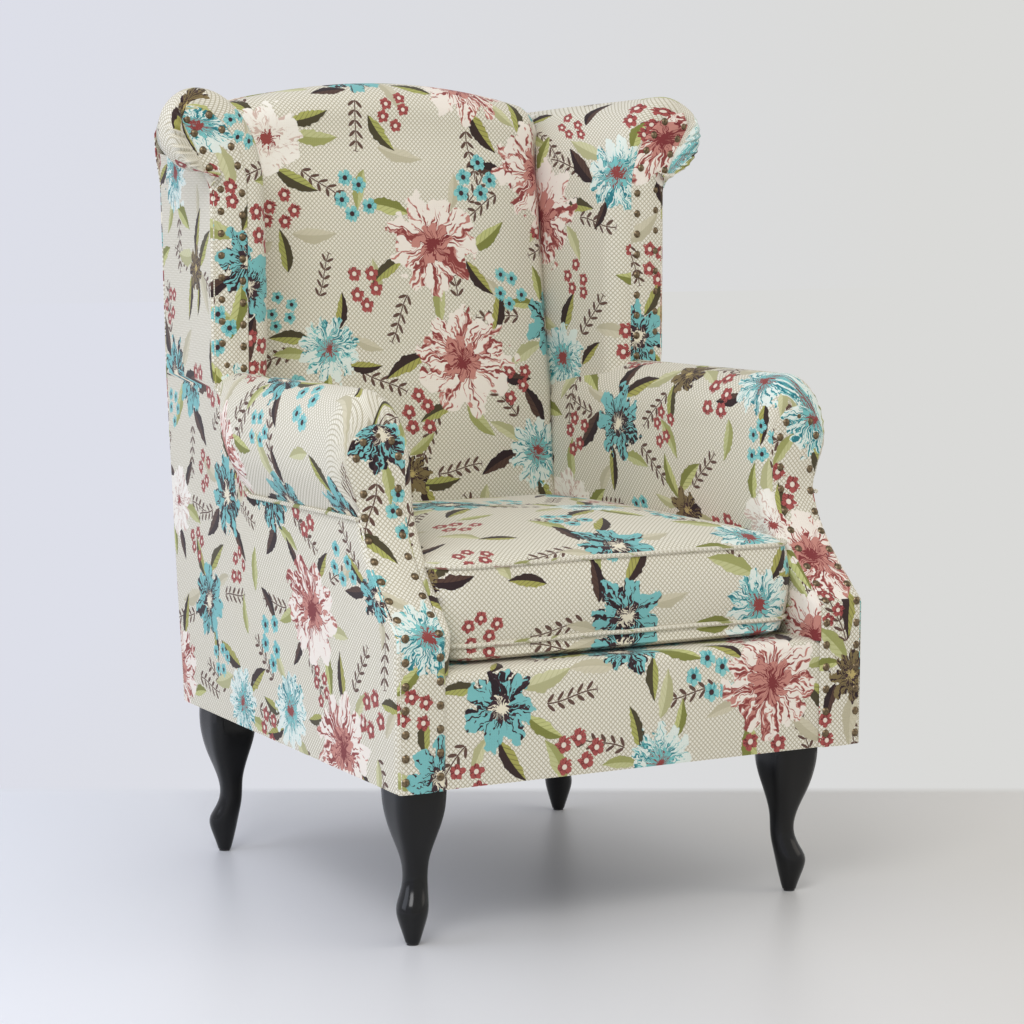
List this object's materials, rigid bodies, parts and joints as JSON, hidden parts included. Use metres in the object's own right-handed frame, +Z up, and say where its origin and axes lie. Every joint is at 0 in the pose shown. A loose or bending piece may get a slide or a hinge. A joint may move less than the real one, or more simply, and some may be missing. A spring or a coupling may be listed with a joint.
{
  "type": "armchair",
  "caption": "Wing armchair with rolled arms, arched back, loose seat cushion, nailhead trim, floral cloth and black cabriole legs.",
  "frame": {"origin": "centre of the bounding box's underside, on the floor", "axes": "+Z up, the chair faces -Y, +X to its left arm as the sitter sees it"},
  "size_m": [0.854, 0.8003, 1.08],
  "materials": {
    "frame_timber": "planed beech, unfinished",
    "corner_plywood": "sawn hardwood block",
    "spring_steel": "dark drawn wire",
    "clip_steel": "zinc plated",
    "jute_webbing": "woven jute",
    "deck_felt": "needled felt under calico",
    "padding_foam": "foam and polyester wadding",
    "cushion_foam": "firm cushion foam",
    "zip_tape": "woven zip tape with coil",
    "zip_brass": "satin",
    "dust_cloth": "black spunbond",
    "leg_lacquer": "black high-gloss lacquer",
    "bolt_steel": "zinc plated",
    "glide_plastic": "nylon",
    "nail_brass": "antiqued, dark in the recesses",
    "welt_fabric": "cord covered in the same cloth",
    "floral_fabric": "printed cotton with a floral pattern on a fine lattice"
  },
  "bodies": {
    "chair": {"front_rail": "frame_timber", "back_rail": "frame_timber", "side_rail_right": "frame_timber", "side_rail_left": "frame_timber", "corner_block_front_right": "corner_plywood", "corner_block_front_left": "corner_plywood", "corner_block_rear_right": "corner_plywood", "corner_block_rear_left": "corner_plywood", "arm_post_right": "frame_timber", "arm_post_left": "frame_timber", "back_post_right": "frame_timber", "back_post_left": "frame_timber", "arm_rail_right": "frame_timber", "arm_rail_left": "frame_timber", "wing_frame_right": "frame_timber", "wing_frame_left": "frame_timber", "back_top_rail": "frame_timber", "back_tack_rail": "frame_timber", "seat_springs": "spring_steel", "spring_clips": "clip_steel", "back_webbing": "jute_webbing", "seat_deck": "deck_felt", "back_pad": "padding_foam", "arm_pad_right": "padding_foam", "arm_pad_left": "padding_foam", "wing_pad_right": "padding_foam", "wing_pad_left": "padding_foam", "inside_back_cover": "floral_fabric", "outside_back_cover": "floral_fabric", "side_cover_right": "floral_fabric", "side_cover_left": "floral_fabric", "arm_cover_right": "floral_fabric", "arm_cover_left": "floral_fabric", "wing_cover_right": "floral_fabric", "wing_cover_left": "floral_fabric", "arm_facing_right": "floral_fabric", "arm_facing_left": "floral_fabric", "wing_facing_right": "floral_fabric", "wing_facing_left": "floral_fabric", "arm_welt_right": "welt_fabric", "arm_welt_left": "welt_fabric", "front_border": "floral_fabric", "dust_cover": "dust_cloth", "leg_front_right": "leg_lacquer", "leg_front_left": "leg_lacquer", "leg_rear_right": "leg_lacquer", "leg_rear_left": "leg_lacquer", "leg_bolts": "bolt_steel", "glides": "glide_plastic", "arm_nails_right": "nail_brass", "arm_nails_left": "nail_brass", "wing_nails_right": "nail_brass", "wing_nails_left": "nail_brass"},
    "seat_cushion": {"cushion_cover": "floral_fabric", "cushion_foam": "cushion_foam", "cushion_welts": "welt_fabric", "zip_tape": "zip_tape"},
    "zip_slider": {"zip_slider": "zip_brass"}
  },
  "joints": [
    {"name": "cushion_lift", "type": "slide", "parent": "chair", "child": "seat_cushion", "axis": [0, 0, 1], "range_m": [0, 0.35]},
    {"name": "zip_slide", "type": "slide", "parent": "seat_cushion", "child": "zip_slider", "axis": [1, 0, 0], "range_m": [0, 0.37]}
  ]
}
